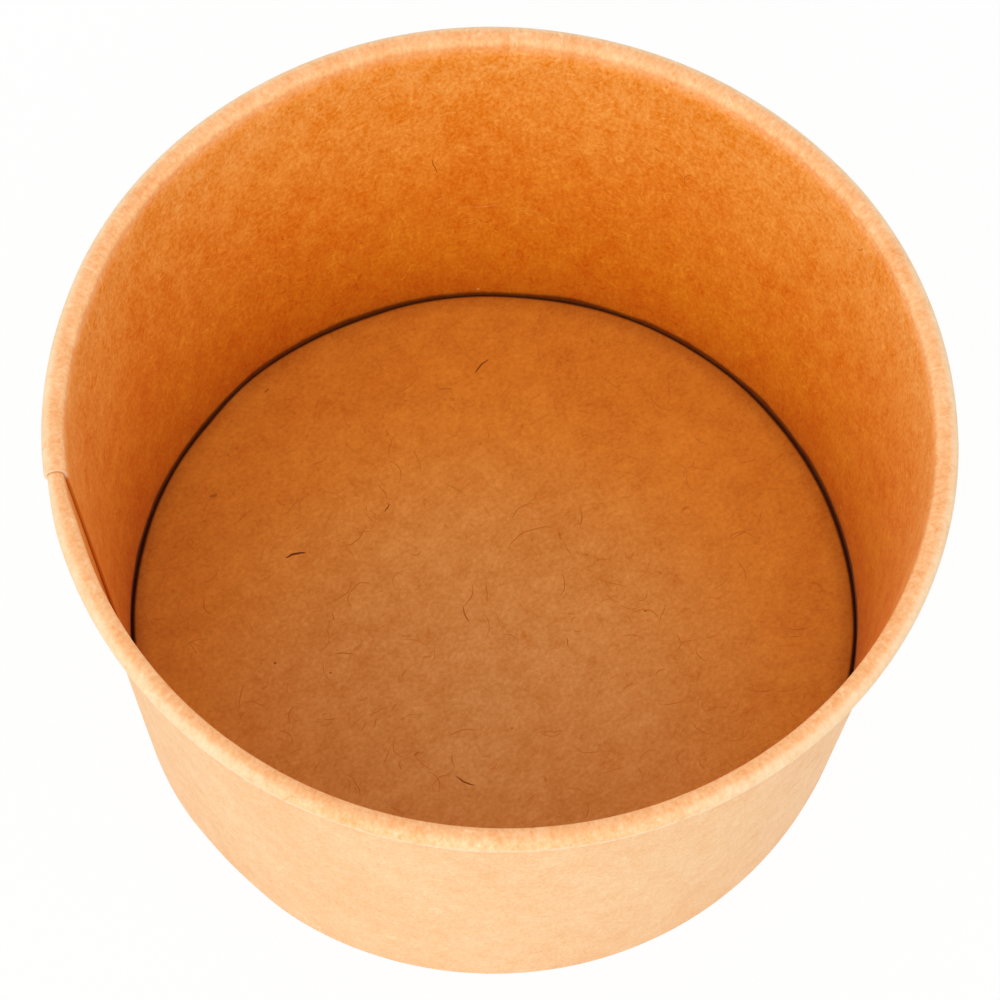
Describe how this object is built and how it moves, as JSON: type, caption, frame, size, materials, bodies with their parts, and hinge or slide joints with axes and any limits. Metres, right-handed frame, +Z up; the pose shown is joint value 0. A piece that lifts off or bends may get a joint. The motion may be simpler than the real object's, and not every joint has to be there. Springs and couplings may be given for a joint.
{
  "type": "paper ice cream tub",
  "caption": "Open round kraft paper tub for ice cream: a tapered wall with a rolled rim, a lapped side seam and a recessed base disc held in a folded foot.",
  "frame": {"origin": "centre of the foot, on the surface that the tub stands on", "axes": "+Z up along the tub's axis, out of its mouth; the inside raw edge of the side seam stands 190 degrees round from +X towards +Y, a little in front of -X"},
  "size_m": [0.115, 0.115, 0.068],
  "materials": {
    "wall_board": "uncoated-looking brown kraft board with a thin satin coating",
    "base_board": "brown kraft board with a thin satin coating"
  },
  "bodies": {
    "root": {"side_wall": "wall_board", "base_disc": "base_board"}
  },
  "joints": []
}
